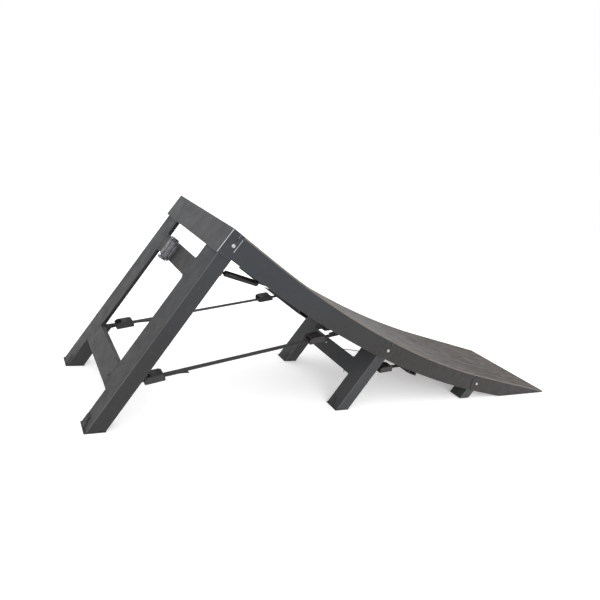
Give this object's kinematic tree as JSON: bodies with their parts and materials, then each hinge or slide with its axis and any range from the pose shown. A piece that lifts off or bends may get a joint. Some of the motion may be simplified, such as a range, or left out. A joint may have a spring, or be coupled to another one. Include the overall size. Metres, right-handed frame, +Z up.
{
  "type": "folding bicycle kicker ramp",
  "caption": "Folding launch ramp: curved deck on deep side rails, hinged in sections over leaning leg frames held by webbing straps.",
  "frame": {"origin": "centre of the bounding box on the ground under the ramp", "axes": "+X along the ramp towards its low front edge, +Y across the ramp, +Z up"},
  "size_m": [2.5834, 0.5788, 0.74],
  "materials": {
    "frame": "satin powder coat",
    "deck": "worn film-faced plywood",
    "webbing": "woven polyester",
    "buckle": "black coated zinc casting",
    "rubber": "matt",
    "grip": "matt grip sleeve",
    "handle_metal": "zinc plated",
    "fastener": "zinc plated",
    "gas_tube": "gloss black",
    "gas_rod": "hard chromed"
  },
  "bodies": {
    "rear_section": {"deck_rear": "deck", "rail_rear_a": "frame", "rail_rear_b": "frame", "lip_panel": "frame", "lip_cheek_a": "frame", "lip_cheek_b": "frame", "cross_rail_rear": "frame", "gas_stud": "fastener", "pivot_bolt_rear_a": "fastener", "pivot_bolt_rear_b": "fastener", "pivot_bolt_mid_a": "fastener", "pivot_bolt_mid_b": "fastener", "anchor_rear_a": "fastener", "anchor_rear_b": "fastener", "strap_rear_a": "webbing", "strap_rear_b": "webbing", "adjuster_rear_a": "buckle", "adjuster_rear_b": "buckle"},
    "mid_section": {"deck_mid": "deck", "rail_mid_a": "frame", "rail_mid_b": "frame", "cross_rail_mid": "frame", "pivot_bolt_front_a": "fastener", "pivot_bolt_front_b": "fastener", "anchor_mid_a": "fastener", "anchor_mid_b": "fastener", "strap_mid_a": "webbing", "strap_mid_b": "webbing"},
    "front_section": {"deck_front": "deck", "rail_front_a": "frame", "rail_front_b": "frame"},
    "rear_leg_frame": {"leg_rear_a": "frame", "leg_rear_b": "frame", "cross_rear_upper": "frame", "cross_rear_lower": "frame", "foot_rear_a": "rubber", "foot_rear_b": "rubber", "handle_base": "handle_metal", "buckle_rear_a": "buckle", "buckle_rear_b": "buckle"},
    "mid_leg_frame": {"leg_mid_a": "frame", "leg_mid_b": "frame", "cross_mid": "frame", "foot_mid_a": "rubber", "foot_mid_b": "rubber", "buckle_mid_a": "buckle", "buckle_mid_b": "buckle", "tail_mid_a": "webbing"},
    "front_leg_frame": {"leg_front_a": "frame", "leg_front_b": "frame", "tie_front": "frame"},
    "gas_rod": {"gas_rod": "gas_rod"},
    "gas_cylinder": {"gas_cylinder": "gas_tube"},
    "handle_bail": {"handle_bail": "grip"},
    "lever_rear_a": {"lever_rear_a": "buckle"},
    "lever_mid_a": {"lever_mid_a": "buckle"},
    "lever_rear_b": {"lever_rear_b": "buckle"},
    "lever_mid_b": {"lever_mid_b": "buckle"}
  },
  "joints": [
    {"name": "mid_section_hinge", "type": "hinge", "parent": "rear_section", "child": "mid_section", "pos_m": [-0.07141, 0, 0.29127], "axis": [0, 1, 0], "range_deg": [0, 12]},
    {"name": "front_section_hinge", "type": "hinge", "parent": "mid_section", "child": "front_section", "pos_m": [0.63252, 0, 0.08982], "axis": [0, 1, 0], "range_deg": [0, 12]},
    {"name": "rear_leg_fold", "type": "hinge", "parent": "rear_section", "child": "rear_leg_frame", "pos_m": [-0.90122, 0, 0.68148], "axis": [0, -1, 0], "range_deg": [0, 75], "stiffness_Nm_per_rad": 30, "springref_deg": -68.75, "deforming": ["strap_rear_a", "strap_rear_b", "adjuster_rear_a", "adjuster_rear_b"]},
    {"name": "mid_leg_fold", "type": "hinge", "parent": "mid_section", "child": "mid_leg_frame", "pos_m": [-0.07141, 0, 0.29127], "axis": [0, -1, 0], "range_deg": [0, 45], "deforming": ["strap_mid_a", "strap_mid_b"]},
    {"name": "front_leg_fold", "type": "hinge", "parent": "mid_section", "child": "front_leg_frame", "pos_m": [0.63252, 0, 0.08982], "axis": [0, -1, 0], "range_deg": [0, 100]},
    {"name": "gas_rod_swing", "type": "hinge", "parent": "rear_section", "child": "gas_rod", "pos_m": [-0.62533, -0.225, 0.511], "axis": [0, -1, 0], "range_deg": [-26.07, 0.5]},
    {"name": "gas_cylinder_slide", "type": "slide", "parent": "gas_rod", "child": "gas_cylinder", "axis": [0.977, 0, -0.2131], "range_m": [-0.001, 0.0723]},
    {"name": "handle_swing", "type": "hinge", "parent": "rear_leg_frame", "child": "handle_bail", "pos_m": [-1.00889, 0.057, 0.56843], "axis": [-0.4617, 0, -0.887], "range_deg": [0, 110]},
    {"name": "lever_rear_a_press", "type": "hinge", "parent": "rear_leg_frame", "child": "lever_rear_a", "pos_m": [-1.08545, -0.236, 0.18651], "axis": [0, -1, 0], "range_deg": [0, 35], "stiffness_Nm_per_rad": 0.6, "springref_deg": -34.38},
    {"name": "lever_mid_a_press", "type": "hinge", "parent": "mid_leg_frame", "child": "lever_mid_a", "pos_m": [-0.02723, -0.236, 0.19042], "axis": [0, -1, 0], "range_deg": [0, 35], "stiffness_Nm_per_rad": 0.6, "springref_deg": -34.38},
    {"name": "lever_rear_b_press", "type": "hinge", "parent": "rear_leg_frame", "child": "lever_rear_b", "pos_m": [-1.08545, 0.236, 0.18651], "axis": [0, -1, 0], "range_deg": [0, 35], "stiffness_Nm_per_rad": 0.6, "springref_deg": -34.38},
    {"name": "lever_mid_b_press", "type": "hinge", "parent": "mid_leg_frame", "child": "lever_mid_b", "pos_m": [-0.02723, 0.236, 0.19042], "axis": [0, -1, 0], "range_deg": [0, 35], "stiffness_Nm_per_rad": 0.6, "springref_deg": -34.38}
  ],
  "couplings": [
    {"joint": "gas_rod_swing", "follows": "rear_leg_fold", "ratio": -0.34089},
    {"joint": "gas_cylinder_slide", "follows": "rear_leg_fold", "m_per_rad": 0.054469}
  ]
}
